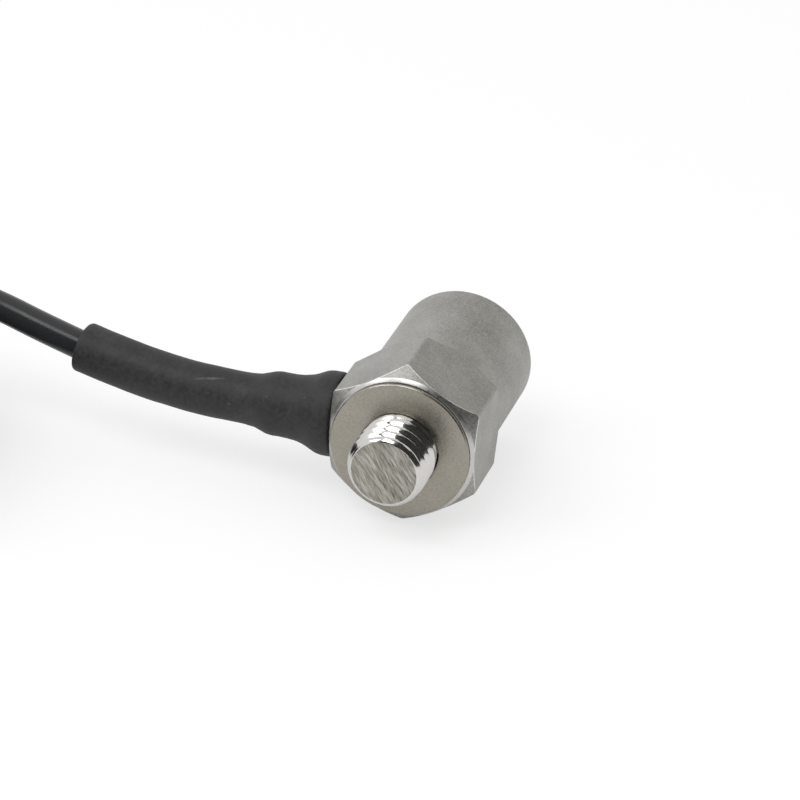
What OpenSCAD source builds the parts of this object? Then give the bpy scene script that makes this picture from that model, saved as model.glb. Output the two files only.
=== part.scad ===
// Stud-mounted vibration sensor with a hexagon base, a round case and an integral side cable.
// It lies on a surface at z = 0 with its axis along Y: the stud points to -Y, the closed top of
// the case to +Y, one corner of the hexagon straight down, and the cable leaves the -X flat.
// Distances called axial are measured along the sensor's axis from its washer face.

/* [Housing] */
// Width across the flats of the hexagon
hex_af = 15; // [14.6:0.1:17]
// Sharp corner of the hexagon that is turned away
corner_break = 0.08; // [0.02:0.01:0.3]
// Axial place where the hexagon's corner edges end
hex_back = 8.3; // [7.4:0.1:9.4]
// Angle of the front chamfer, from the washer face
chamfer_angle = 45; // [30:1:55]
// Width of the bright turned rim between the front chamfer and the seam
rim_w = 0.35; // [0.2:0.05:0.6]
// Angle of that rim, from the washer face
rim_angle = 42; // [35:1:50]
// Radius of the hollow blend from the hexagon into the case
blend_r = 3; // [2:0.1:5]
// Diameter of the round case
case_d = 14.4; // [13.8:0.1:14.6]
// Axial length from the washer face to the top of the case
body_len = 22.6; // [21.8:0.1:26]
// Wall of the round case
case_wall = 1; // [0.7:0.05:1.2]
// Thickness of the closed top
top_wall = 1.2; // [0.6:0.1:1.6]
// Rounding of the case's top rim
rim_r = 0.4; // [0.1:0.05:0.8]
// Width of the inner ledge that the circuit board seats on
ledge_w = 0.6; // [0.4:0.05:1]

/* [Base] */
// Diameter of the washer face
washer_d = 14.3; // [13.8:0.1:14.7]
// Thickness of the base flange that carries the washer face
flange_t = 0.4; // [0.3:0.05:0.6]
// Edge break of the washer face
washer_break = 0.12; // [0.05:0.01:0.2]
// Width of the seam groove between the flange and the hexagon
seam_w = 0.1; // [0.05:0.01:0.2]
// Depth of the seam groove
seam_depth = 0.25; // [0.1:0.05:0.4]
// Length of the spigot that fits into the case
spigot_len = 1.8; // [1.2:0.1:2.2]
// Step from the seismic mass's side in to the boss's side
boss_inset = 0.1; // [0:0.05:0.5]
// Solid web between the stud's hole and the preload screw's hole
boss_web = 0.7; // [0.5:0.1:1.2]

/* [Stud] */
// Thread diameter of the mounting stud
stud_d = 8; // [6:0.5:9]
// Length that the stud stands out of the washer face
stud_len = 5; // [4:0.5:12]
// End chamfer of the stud
stud_chamfer = 0.66; // [0.4:0.02:0.9]
// Depth of the stud's seat below the washer face
stud_seat = 0.3; // [0.2:0.05:0.4]
// Depth of the undercut below the stud's thread, in that seat
undercut = 0.5; // [0.3:0.05:0.8]
// Thread diameter of the stud's inner end
inner_thread_d = 5; // [4:0.5:6]
// Length of the stud's inner end
inner_thread_len = 4.2; // [3.6:0.1:4.6]

/* [Sensing element] */
// Step from the seismic mass's side in to the piezo rings' side
piezo_inset = 0.3; // [0.1:0.05:0.8]
// Thickness of one piezo ring
piezo_t = 0.9; // [0.7:0.05:1.1]
// Thickness of the signal electrode
electrode_t = 0.15; // [0.1:0.01:0.25]
// Width of the electrode's solder tab
tab_w = 1.4; // [1:0.1:2]
// Space round the seismic mass for the wires, up to the liner
wire_space = 0.98; // [0.8:0.02:1.5]
// Thread diameter of the preload screw
screw_d = 2.5; // [2:0.1:2.8]
// Depth of the preload screw in the boss
screw_depth = 2.8; // [2:0.1:3]
// Head diameter of the preload screw
screw_head_d = 4.5; // [4:0.1:5]
// Head height of the preload screw
screw_head_h = 1.2; // [0.9:0.1:1.4]
// Width across the flats of the screw's socket
socket_af = 2; // [1.5:0.1:2.5]
// Wall of the insulating tube on the screw
tube_wall = 0.5; // [0.3:0.05:0.7]
// Outer diameter of the cone spring washer
spring_d = 5.4; // [4.8:0.1:6.4]
// Sheet thickness of the cone spring washer
spring_t = 0.25; // [0.15:0.01:0.35]
// Cone height of the spring washer
spring_rise = 0.2; // [0.1:0.02:0.3]

/* [Circuit] */
// Wall of the insulating liner
liner_wall = 0.5; // [0.3:0.05:0.55]
// Space between the preload screw's head and the circuit board
board_space = 0.85; // [0.5:0.05:1]
// Thickness of the circuit board
board_t = 0.8; // [0.6:0.1:1]
// Side of the amplifier chip
chip_side = 3; // [2:0.1:4]
// Height of the amplifier chip
chip_h = 0.9; // [0.6:0.1:1]
// Free room above the amplifier chip
chip_room = 2; // [1:0.1:2.6]
// Length of a small chip on the board
small_chip_l = 1.6; // [1:0.1:2]
// Distance of the small chips from the board's centre
small_chip_ring = 3.4; // [3:0.1:4]
// Diameter of the inner wires
wire_d = 0.44; // [0.3:0.02:0.5]

/* [Cable entry] */
// Axial place of the cable's axis
cable_axial = 5.1; // [4.9:0.1:5.4]
// Diameter of the nipple's collar on the flat
collar_d = 7.4; // [6.6:0.1:7.6]
// Thickness of the nipple's collar
collar_t = 1.8; // [1.2:0.1:2.4]
// Diameter of the nipple's spigot in the housing wall
nipple_spigot_d = 5; // [4.2:0.1:5.6]
// Diameter of the nipple's crimping tube
nipple_tube_d = 3.8; // [3.4:0.1:4]
// Length of the nipple's crimping tube
nipple_tube_l = 6.2; // [5.4:0.1:7]
// Diameter of the insulated core inside the cable
core_d = 1.5; // [1:0.1:1.8]
// Thickness of the braided screen
braid_t = 0.25; // [0.15:0.05:0.3]
// Outer diameter of the crimp ferrule
ferrule_d = 5.3; // [4.8:0.1:5.6]
// Length of the crimp ferrule
ferrule_len = 5.4; // [4.4:0.1:5.6]
// Gap between the shrink sleeve's end and the flat
sleeve_gap = 0.15; // [0.1:0.05:0.4]
// Wall of the shrink sleeve where it is stretched over metal
sleeve_wall_thin = 0.6; // [0.4:0.05:0.9]
// Wall of the shrink sleeve where it has closed on the cable
sleeve_wall_thick = 1.05; // [0.8:0.05:1.4]

/* [Cable] */
// Diameter of the cable
cable_d = 3.1; // [2.7:0.1:3.3]
// Space between neighbouring turns of the coil
turn_space = 0.05; // [0.02:0.01:0.1]
// Mean diameter of the coil
coil_mean_d = 27; // [26:0.2:30]
// Turns that lie side by side in the coil
coil_columns = 4; // [3:1:5]
// Turns that lie on each other in the coil
coil_rows = 5; // [4:1:6]
// Width of the tie's strap
strap_w = 3.6; // [2.4:0.2:5]
// Thickness of the tie's strap
strap_t = 1; // [0.8:0.1:1.4]
// Side of the tie's square head
tie_head = 5; // [4:0.2:6]
// Height of the tie's head
tie_head_h = 3.4; // [2.6:0.2:4]
// Diameter of the sleeve on the cable's far end
end_sleeve_d = 4; // [3.6:0.1:4.6]
// Length of the sleeve on the cable's far end
end_sleeve_l = 6; // [5:0.5:10]
// Diameter of an insulated lead
lead_d = 1.2; // [1:0.1:1.5]
// Bare length of a lead between the sleeve and its wire ferrule
lead_l = 4.5; // [4:0.5:8]
// Angle between a lead and the cable's end
lead_angle = 7; // [6:0.5:10]
// Diameter of a wire ferrule's collar
wire_ferrule_d = 2.2; // [2:0.1:2.4]
// Length of a wire ferrule's collar
wire_ferrule_l = 3.5; // [3:0.5:6]
// Diameter of a wire ferrule's pin
pin_d = 1; // [0.8:0.1:1.2]
// Length of a wire ferrule's pin
pin_l = 4.5; // [4:0.5:8]

/* [Hidden] */
$fn = 96;

// Clearance of pieces that are pressed, screwed or slipped together
fit = 0.02;
// Overshoot of a cutting solid
cut = 1;
// Space round the stud in its seat
seat_space = 0.1;
// Free depth past the stud and the screw in their holes
stud_hole_spare = 0.3;
screw_hole_spare = 0.2;
// Where the braid and the ferrule start behind the nipple's collar
braid_offset = 0.4;
ferrule_offset = 0.6;
// Space between the nipple's tube and the cable's jacket
jacket_space = 0.3;
// Length of the core that stands out of the liner into the case
core_reach = 0.2;
// Lengths of the sleeve's end, of its fall from the collar and of its fall from the ferrule
lip_len = 0.2;
shoulder_len = 2.4;
neck_len = 1.2;
// Share of the sleeve's wall that is left where it is stretched over an edge
edge_share = 0.8;

// Housing
corner_r = hex_af / 2 / cos(30) - corner_break;
flat_r = hex_af / 2;
case_r = case_d / 2;
bore_r = case_r - case_wall;
front_z = flange_t + seam_w;
front_r = washer_d / 2 + seam_w / 2;
rim_z = front_z + rim_w * tan(rim_angle);
chamfer_z = rim_z + (corner_r - front_r - rim_w) * tan(chamfer_angle);
blend_top = hex_back + sqrt(pow(blend_r, 2) - pow(blend_r - (corner_r - case_r), 2));

// Base, with the stud's hole from below and the preload screw's hole from above
stud_r = stud_d / 2;
spigot_top = flange_t + spigot_len;
stud_hole_depth = inner_thread_len + stud_hole_spare;
screw_hole_depth = screw_depth + screw_hole_spare;
boss_top = stud_hole_depth + boss_web + screw_hole_depth;

// Sensing element, stacked on the boss
liner_r = bore_r - fit;
liner_bore_r = liner_r - liner_wall;
mass_r = liner_bore_r - wire_space;
piezo_r = mass_r - piezo_inset;
boss_r = mass_r - boss_inset;
wire_ring = (mass_r + liner_bore_r) / 2;
electrode_z = boss_top + piezo_t;
upper_piezo_z = electrode_z + electrode_t;
mass_z = upper_piezo_z + piezo_t;
above_mass = spring_t + spring_rise + screw_head_h + board_space + board_t + chip_h + chip_room;
spring_z = body_len - top_wall - above_mass;
head_z = spring_z + spring_t + spring_rise;
screw_r = screw_d / 2;
tube_r = screw_r + fit + tube_wall;

// Circuit, held between the liner and the ledge
board_z = head_z + screw_head_h + board_space;
board_top = board_z + board_t;
small_chip_w = small_chip_l / 2;

// Cable entry, along the outward direction of the -X flat
tube_end = collar_t + nipple_tube_l;
braid_start = collar_t + braid_offset;
braid_r = nipple_tube_d / 2 + fit + braid_t;
ferrule_start = collar_t + ferrule_offset;
ferrule_end = ferrule_start + ferrule_len;
jacket_start = tube_end + jacket_space;
wall_inner = bore_r - flat_r;
core_inner = liner_bore_r - flat_r - core_reach;

// Resting place: the lowest corner edge is on z = 0 and the sensor is centred along Y
axis_z = corner_r;
mid_y = (body_len - stud_len) / 2;
cable_y = cable_axial - mid_y;

// Cable from the nipple, in a low arch to the coil's highest turn
cable_r = cable_d / 2;
ROUTE = [[-19.5, -3.68, 8.61], [-22.5, -3.63, 8.74], [-25.5, -3.51, 8.98], [-28.5, -3.32, 9.34],
         [-31.4, -3.07, 9.81], [-35.2, -2.68, 10.52], [-38.3, -2.3, 11.2], [-41.2, -1.92, 11.88],
         [-44.5, -1.47, 12.69], [-48.5, -0.92, 13.42], [-52.5, -0.37, 13.9], [-56.5, 0.15, 14.12],
         [-60.5, 0.65, 14.18]];
SLEEVE_POINTS = 6;
cable_start = [-flat_r - jacket_start, cable_y, axis_z];
cable_bend = [-flat_r - ferrule_end - neck_len, cable_y, axis_z];
run_path = concat([cable_start, cable_bend], ROUTE);

// Coil, laid on the surface, with the cable's end on top of it
COIL_CENTRE = [-62.75, -17.44, 0];
TIE_ANGLE = 320;
END_ANGLE = 150;
END_STEP = 3;
RISE_W = 12;
turn_pitch = cable_d + turn_space;
coil_width = coil_columns * turn_pitch;
coil_height = coil_rows * turn_pitch;
coil_in = (coil_mean_d - coil_width) / 2;
coil_out = (coil_mean_d + coil_width) / 2;
coil_edge = (2 - sqrt(2)) * cable_r;
end_r = coil_in + turn_pitch / 2;
end_low = coil_height + cable_r + turn_space;
end_high = coil_height + end_sleeve_d / 2 + turn_space;
end_path = [for (i = [0:2])
    COIL_CENTRE + [end_r * cos(END_ANGLE) - i * END_STEP * sin(END_ANGLE),
                   end_r * sin(END_ANGLE) + i * END_STEP * cos(END_ANGLE),
                   i == 0 ? end_low : end_high]];
end_way = end_path[2] - end_path[1];
end_turn = atan2(end_way[1], end_way[0]);

// Sides of the swept tubes
CABLE_SIDES = 8;
SLEEVE_SIDES = 20;

steel = "#a5a39c";
polished = "#c9c9c6";
ceramic = "#e6e0d2";
tungsten = "#6f7073";
brass = "#c2a14e";
black = "#1b1b1c";
charcoal = "#37373a";
clear_white = "#e4e2da";

// Placing

// Lays a piece that is drawn along its axis from the washer face into its resting place
module lay() {
    translate([0, -mid_y, axis_z])
        rotate([-90, 0, 0])
            children();
}

// Places a piece that is drawn outward from the -X flat along the cable's axis
module at_flat() {
    translate([-flat_r, cable_y, axis_z])
        rotate([0, -90, 0])
            children();
}

// Places a piece that is drawn along the cable's far end
module at_cable_end(along = 0) {
    translate(end_path[2])
        rotate([0, 0, end_turn])
            rotate([0, 90, 0])
                translate([0, 0, along])
                    children();
}

// Tube between two heights
module pipe(r_out, r_in, from, to) {
    translate([0, 0, from])
        difference() {
            cylinder(r = r_out, h = to - from);
            translate([0, 0, -cut])
                cylinder(r = r_in, h = to - from + 2 * cut);
        }
}

// Straight rod between two heights
module rod(r, from, to) {
    translate([0, 0, from])
        cylinder(r = r, h = to - from);
}

// Sweeps

function unit(v) = v / norm(v);
function way(path, i) = unit(path[min(i + 1, len(path) - 1)] - path[max(i - 1, 0)]);
function ring(path, i, r, sides) =
    let (t = way(path, i), side = unit(cross(t, [0, 0, 1])), up = cross(side, t))
    [for (k = [0:sides - 1])
        path[i] + r * (cos(360 * k / sides) * side + sin(360 * k / sides) * up)];
function skin(rings, sides, first, inward) =
    [for (i = [0:rings - 2], k = [0:sides - 1])
        let (a = first + i * sides + k, b = first + i * sides + (k + 1) % sides)
        inward ? [a, a + sides, b + sides, b] : [a, b, b + sides, a + sides]];

// Solid tube of one radius along a path
module swept_rod(path, r, sides) {
    rings = len(path);
    points = [for (i = [0:rings - 1]) each ring(path, i, r, sides)];
    start_cap = [[for (k = [sides - 1:-1:0]) k]];
    end_cap = [[for (k = [0:sides - 1]) (rings - 1) * sides + k]];
    polyhedron(points, concat(start_cap, skin(rings, sides, 0, false), end_cap), convexity = 4);
}

// Hollow tube along a path, with an outer and an inner radius at each point
module swept_pipe(path, outer, inner, sides) {
    rings = len(path);
    half = rings * sides;
    points = concat(
        [for (i = [0:rings - 1]) each ring(path, i, outer[i], sides)],
        [for (i = [0:rings - 1]) each ring(path, i, inner[i], sides)]);
    last = (rings - 1) * sides;
    start_face = [for (k = [0:sides - 1])
        let (n = (k + 1) % sides) [k, half + k, half + n, n]];
    end_face = [for (k = [0:sides - 1])
        let (n = (k + 1) % sides) [last + k, last + n, half + last + n, half + last + k]];
    polyhedron(
        points,
        concat(skin(rings, sides, 0, false), skin(rings, sides, half, true), start_face, end_face),
        convexity = 6);
}

// Body

// Half section of the housing's outside, before the flats are cut
module housing_section() {
    seat_r = washer_d / 2 - seam_depth;
    difference() {
        polygon([[0, flange_t], [seat_r, flange_t], [seat_r, front_z], [front_r, front_z],
                 [front_r + rim_w, rim_z], [corner_r, chamfer_z], [corner_r, blend_top], [case_r, blend_top],
                 [case_r, body_len], [0, body_len]]);
        translate([case_r + blend_r, blend_top])
            circle(r = blend_r);
        translate([case_r - rim_r, body_len - rim_r])
            difference() {
                square(rim_r + cut);
                circle(r = rim_r);
            }
    }
}

module housing() {
    color(steel)
        lay()
            difference() {
                intersection() {
                    rotate_extrude()
                        housing_section();
                    rotate([0, 0, 30])
                        cylinder(r = flat_r / cos(30), h = body_len + cut, $fn = 6);
                }
                rod(bore_r, flange_t - cut, board_top + fit);
                rod(bore_r - ledge_w, 0, body_len - top_wall);
                translate([0, 0, cable_axial])
                    rotate([0, -90, 0])
                        rod(nipple_spigot_d / 2 + fit, 0, flat_r + cut);
            }
}

module base_plate() {
    washer_r = washer_d / 2;
    color(steel)
        lay()
            difference() {
                rotate_extrude()
                    polygon([[0, 0], [washer_r - washer_break, 0], [washer_r, washer_break],
                             [washer_r, flange_t], [bore_r - fit, flange_t],
                             [bore_r - fit, spigot_top], [boss_r, spigot_top],
                             [boss_r, boss_top], [0, boss_top]]);
                rod(stud_r + seat_space, -cut, stud_seat);
                rod(inner_thread_d / 2 + fit, -cut, stud_hole_depth);
                rod(screw_r + fit, boss_top - screw_hole_depth, boss_top + cut);
            }
}

module mounting_stud() {
    color(polished)
        lay()
            rotate_extrude()
                polygon([[0, -stud_len], [stud_r - stud_chamfer, -stud_len],
                         [stud_r, stud_chamfer - stud_len], [stud_r, 0],
                         [stud_r - undercut, 0], [stud_r - undercut, stud_seat],
                         [inner_thread_d / 2, stud_seat], [inner_thread_d / 2, inner_thread_len],
                         [0, inner_thread_len]]);
}

// Sensing element

module piezo_ring(from) {
    color(ceramic)
        lay()
            pipe(piezo_r, tube_r + fit, from, from + piezo_t);
}

module piezo_ring_lower() {
    piezo_ring(boss_top);
}

module piezo_ring_upper() {
    piezo_ring(upper_piezo_z);
}

module signal_electrode() {
    color(brass)
        lay()
            difference() {
                union() {
                    rod(piezo_r, electrode_z, upper_piezo_z);
                    translate([0, -tab_w / 2, electrode_z])
                        cube([wire_ring + wire_d / 2, tab_w, electrode_t]);
                }
                rod(tube_r + fit, electrode_z - cut, upper_piezo_z + cut);
            }
}

module screw_tube() {
    color(clear_white)
        lay()
            pipe(tube_r, screw_r + fit, boss_top, mass_z);
}

module seismic_mass() {
    color(tungsten)
        lay()
            pipe(mass_r, screw_r + fit, mass_z, spring_z);
}

module spring_washer() {
    inner = screw_r + 2 * fit;
    color(polished)
        lay()
            rotate_extrude()
                polygon([[inner, spring_z + spring_rise], [spring_d / 2, spring_z],
                         [spring_d / 2, spring_z + spring_t], [inner, head_z]]);
}

module preload_screw() {
    head_top = head_z + screw_head_h;
    color(polished)
        lay()
            difference() {
                union() {
                    rod(screw_r, boss_top - screw_depth, head_z + fit);
                    rod(screw_head_d / 2, head_z, head_top);
                }
                translate([0, 0, head_top - screw_head_h / 2])
                    cylinder(d = socket_af / cos(30), h = screw_head_h, $fn = 6);
            }
}

// Circuit

module liner_sleeve() {
    color(clear_white)
        lay()
            difference() {
                pipe(liner_r, liner_bore_r, spigot_top, board_z);
                translate([0, 0, cable_axial])
                    rotate([0, -90, 0])
                        rod(core_d / 2 + liner_wall, 0, bore_r + cut);
            }
}

module circuit_board() {
    color("#2f6b45")
        lay()
            rod(bore_r - fit, board_z, board_top);
}

module amplifier_chip() {
    color(black)
        lay()
            translate([-chip_side / 2, -chip_side / 2, board_top])
                cube([chip_side, chip_side, chip_h]);
}

module small_chips() {
    color("#b39b78")
        lay()
            for (turn = [0:90:270])
                rotate([0, 0, turn])
                    translate([small_chip_ring - small_chip_w / 2, -small_chip_l / 2, board_top])
                        cube([small_chip_w, small_chip_l, small_chip_w]);
}

module electrode_wire() {
    color(brass)
        lay()
            translate([wire_ring, 0, 0])
                rod(wire_d / 2, upper_piezo_z, board_z);
}

module core_wire() {
    color(brass)
        lay()
            translate([-wire_ring, 0, cable_axial]) {
                rotate([0, -90, 0])
                    rod(wire_d / 2, 0, flat_r + core_inner - wire_ring);
                sphere(d = wire_d);
                rod(wire_d / 2, 0, board_z - cable_axial);
            }
}

// Cable entry

module cable_nipple() {
    color(polished)
        at_flat()
            difference() {
                union() {
                    rod(nipple_spigot_d / 2, wall_inner, 0);
                    rod(collar_d / 2, 0, collar_t);
                    rod(nipple_tube_d / 2, 0, tube_end);
                }
                rod(core_d / 2 + fit, wall_inner - cut, tube_end + cut);
            }
}

module cable_core() {
    color(clear_white)
        at_flat()
            rod(core_d / 2, core_inner, jacket_start);
}

module cable_braid() {
    color("#b9a48c")
        at_flat()
            pipe(braid_r, nipple_tube_d / 2 + fit, braid_start, tube_end);
}

module crimp_ferrule() {
    color(brass)
        at_flat()
            pipe(ferrule_d / 2, braid_r + fit, ferrule_start, ferrule_end);
}

// Places along the sleeve, from the flat: [distance, radius of what it covers, wall]
collar_r = collar_d / 2;
ferrule_r = ferrule_d / 2;
edge_wall = sleeve_wall_thin * edge_share;
shoulder = collar_t + lip_len;
sleeve_stations = [
    [sleeve_gap, collar_r, edge_wall],
    [sleeve_gap + lip_len, collar_r, sleeve_wall_thin],
    [collar_t - lip_len, collar_r, sleeve_wall_thin],
    [shoulder, collar_r, edge_wall],
    [shoulder + shoulder_len / 3, (collar_r + ferrule_r) / 2, sleeve_wall_thin],
    [shoulder + shoulder_len * 2 / 3, (collar_r + 5 * ferrule_r) / 6, sleeve_wall_thin],
    [shoulder + shoulder_len, ferrule_r, sleeve_wall_thin],
    [ferrule_end - neck_len, ferrule_r, sleeve_wall_thin],
    [ferrule_end, ferrule_r, edge_wall],
    [ferrule_end + neck_len / 2, (ferrule_r + cable_r) / 2,
     (sleeve_wall_thin + sleeve_wall_thick) / 2],
    [ferrule_end + neck_len, cable_r, sleeve_wall_thick]];

module shrink_sleeve() {
    straight = len(sleeve_stations);
    curved = SLEEVE_POINTS;
    path = concat(
        [for (s = sleeve_stations) [-flat_r - s[0], cable_y, axis_z]],
        [for (i = [0:curved - 1]) ROUTE[i]]);
    covered = concat([for (s = sleeve_stations) s[1]], [for (i = [1:curved]) cable_r]);
    wall = concat(
        [for (s = sleeve_stations) s[2]], [for (i = [1:curved]) sleeve_wall_thick]);
    inner = [for (r = covered) (r + 2 * fit) / cos(180 / SLEEVE_SIDES)];
    outer = [for (i = [0:straight + curved - 1]) covered[i] + wall[i]];
    color(charcoal)
        swept_pipe(path, outer, inner, SLEEVE_SIDES);
}

// Cable

// Ring that the coil's turns fill, at a height above the surface
module coil_ring(height) {
    translate([0, 0, height])
        rotate_extrude()
            polygon([[coil_in + coil_edge, 0], [coil_out - coil_edge, 0],
                     [coil_out, coil_edge], [coil_out, coil_height - coil_edge],
                     [coil_out - coil_edge, coil_height], [coil_in + coil_edge, coil_height],
                     [coil_in, coil_height - coil_edge], [coil_in, coil_edge]]);
}

// Block over the tie's place, in which the turns are raised
module over_strap(from, to) {
    rotate([0, 0, TIE_ANGLE])
        translate([0, -RISE_W / 2, from])
            cube([coil_out + cut, RISE_W, to - from]);
}

module cable_run() {
    color(black)
        difference() {
            swept_rod(run_path, cable_r, CABLE_SIDES);
            translate(COIL_CENTRE)
                rod(coil_out + fit, -cut, coil_height + cable_d);
        }
}

// The turns rise over the tie's strap, which passes under them
module cable_coil() {
    color(black)
        translate(COIL_CENTRE) {
            difference() {
                coil_ring(0);
                over_strap(-cut, strap_t + fit);
            }
            intersection() {
                coil_ring(strap_t + fit);
                over_strap(0, coil_height + 2 * strap_t);
            }
        }
}

module coil_tie() {
    inner = sqrt(pow(coil_in, 2) - pow(strap_w / 2, 2)) - fit;
    outer = coil_out + fit;
    window = coil_height + 2 * fit;
    color(black)
        translate(COIL_CENTRE)
            rotate([0, 0, TIE_ANGLE]) {
                rotate([90, 0, 0])
                    linear_extrude(height = strap_w, center = true)
                        difference() {
                            translate([inner - strap_t, 0])
                                square([outer - inner + 2 * strap_t, window + 2 * strap_t]);
                            translate([inner, strap_t])
                                square([outer - inner, window]);
                        }
                translate([(inner + outer) / 2 - tie_head / 2, -tie_head / 2,
                           window + 2 * strap_t])
                    cube([tie_head, tie_head, tie_head_h]);
            }
}

module cable_end() {
    color(black)
        swept_rod(end_path, cable_r, CABLE_SIDES);
}

module end_sleeve() {
    color(charcoal)
        at_cable_end()
            rod(end_sleeve_d / 2, 0, end_sleeve_l);
}

// A lead and what is on it are drawn along the lead from the end of the far sleeve
module at_lead(side) {
    at_cable_end(end_sleeve_l)
        translate([0, side * (lead_d / 2 + turn_space), 0])
            rotate([-side * lead_angle, 0, 0])
                children();
}

module lead(side) {
    at_lead(side)
        rod(lead_d / 2, lead_d / 2 * tan(lead_angle), lead_l);
}

module signal_lead() {
    color("#b3352c")
        lead(1);
}

module screen_lead() {
    color(black)
        lead(-1);
}

module wire_ferrules() {
    color("#8a8d92")
        for (side = [-1, 1])
            at_lead(side) {
                rod(wire_ferrule_d / 2, lead_l, lead_l + wire_ferrule_l);
                rod(pin_d / 2, lead_l, lead_l + wire_ferrule_l + pin_l);
            }
}

housing();
base_plate();
mounting_stud();
piezo_ring_lower();
signal_electrode();
piezo_ring_upper();
screw_tube();
seismic_mass();
spring_washer();
preload_screw();
liner_sleeve();
circuit_board();
amplifier_chip();
small_chips();
electrode_wire();
core_wire();
cable_core();
cable_nipple();
cable_braid();
crimp_ferrule();
shrink_sleeve();
cable_run();
cable_coil();
coil_tie();
cable_end();
end_sleeve();
signal_lead();
screen_lead();
wire_ferrules();
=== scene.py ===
"""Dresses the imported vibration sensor: edges, thread, shrink sleeve, cable, finishes and stage."""

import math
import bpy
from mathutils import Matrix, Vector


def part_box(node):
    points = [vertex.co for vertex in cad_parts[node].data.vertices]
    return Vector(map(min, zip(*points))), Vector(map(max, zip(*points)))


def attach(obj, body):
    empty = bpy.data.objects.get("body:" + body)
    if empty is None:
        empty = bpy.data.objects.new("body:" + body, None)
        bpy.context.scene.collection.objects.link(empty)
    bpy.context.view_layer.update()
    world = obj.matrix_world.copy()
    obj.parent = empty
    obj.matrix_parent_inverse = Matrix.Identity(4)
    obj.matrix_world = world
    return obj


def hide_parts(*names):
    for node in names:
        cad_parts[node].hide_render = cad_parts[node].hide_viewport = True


bl_info = {
    "name": "Vibration Sensor",
    "version": (1, 0, 0),
    "blender": (4, 5, 0),
    "location": "3D View > Sidebar > Sensor",
    "description": "Finishes a stud-mounted vibration sensor and its cable on the CAD frame",
    "category": "Object",
}

import bmesh
import bpy
from bpy.props import FloatProperty, FloatVectorProperty, IntProperty, PointerProperty
from mathutils import Matrix, Vector, noise
from mathutils.geometry import interpolate_bezier

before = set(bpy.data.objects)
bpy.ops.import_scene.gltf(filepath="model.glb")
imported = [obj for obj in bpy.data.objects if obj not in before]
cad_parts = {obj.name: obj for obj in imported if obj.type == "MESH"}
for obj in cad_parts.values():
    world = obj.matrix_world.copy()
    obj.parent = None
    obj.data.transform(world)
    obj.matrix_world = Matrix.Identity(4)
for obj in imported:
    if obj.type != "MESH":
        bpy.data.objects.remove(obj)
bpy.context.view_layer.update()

MM = 0.001
UP = Vector((0, 0, 1))

# The stud's box gives the sensor's axis and the places along it
stud_low, stud_high = (Vector(corner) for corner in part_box("mounting_stud"))
AXIS_Z = (stud_low.z + stud_high.z) / 2
STUD_TIP = stud_low.y
STUD_R = (stud_high.x - stud_low.x) / 2
WASHER_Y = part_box("base_plate")[0][1]
FLAT_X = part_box("housing")[0][0]
coil_low, coil_high = (Vector(corner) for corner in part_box("cable_coil"))
COIL_R = (coil_high.x - coil_low.x) / 2

# Places on the steel, repeated from the CAD source: where the flats run into the hollow blend,
# the turned rim's radii, and the radii outside which edges are broken
BLEND_START = WASHER_Y + 8.2 * MM
BLEND_END = BLEND_START + 3 * MM
RIM_LOW, RIM_HIGH = 7.1 * MM, 7.56 * MM
HOUSING_EDGE_R, WASHER_EDGE_R = 7.05 * MM, 7 * MM

# The cable's route, repeated from the CAD source in millimetres
CABLE_START = (-15.8, -3.7, 8.58)
CABLE_BEND = (-16.5, -3.7, 8.58)
ROUTE = [
    (-19.5, -3.68, 8.61), (-22.5, -3.63, 8.74), (-25.5, -3.51, 8.98), (-28.5, -3.32, 9.34),
    (-31.4, -3.07, 9.81), (-35.2, -2.68, 10.52), (-38.3, -2.3, 11.2), (-41.2, -1.92, 11.88),
    (-44.5, -1.47, 12.69), (-48.5, -0.92, 13.42), (-52.5, -0.37, 13.9), (-56.5, 0.15, 14.12),
    (-60.5, 0.65, 14.18),
]
SLEEVE_POINTS = 6
COIL_CENTRE = (-62.75, -17.44)
END_ANGLE = 150
TURN_POINTS = 48

# The tie's angle on the coil, how far the cable rises over its strap, and how many degrees from
# it the cable starts to rise and has risen
TIE_ANGLE = 320
TIE_RISE = 1.02 * MM
RISE_FROM, RISE_TO = 42, 16

# Outer radius of the shrink sleeve by distance from the flat, in millimetres
SLEEVE_FORM = [
    (0.15, 4.05), (0.3, 4.24), (0.6, 4.3), (1.4, 4.3), (2.0, 4.2), (2.5, 3.97), (3.0, 3.72),
    (3.6, 3.49), (4.4, 3.32), (5.2, 3.25), (6.2, 3.25), (6.9, 3.27), (7.5, 3.18), (8.1, 2.97),
    (8.8, 2.73), (9.8, 2.62), (11.3, 2.59), (60, 2.6),
]
# Radii of its mouth over the nipple's collar and of its cut lip, by distance past each end
SLEEVE_MOUTH = [(1.2, 3.74), (0.1, 3.76)]
SLEEVE_LIP = [(0.2, 2.58), (0.36, 2.48), (0.42, 2.3), (0.4, 1.9), (0.2, 1.66), (-1.5, 1.59)]
# Scale of the waves that shrinking leaves in it, and their height in millimetres
SLEEVE_WAVES = [(260, 0.05), (900, 0.018)]

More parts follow.
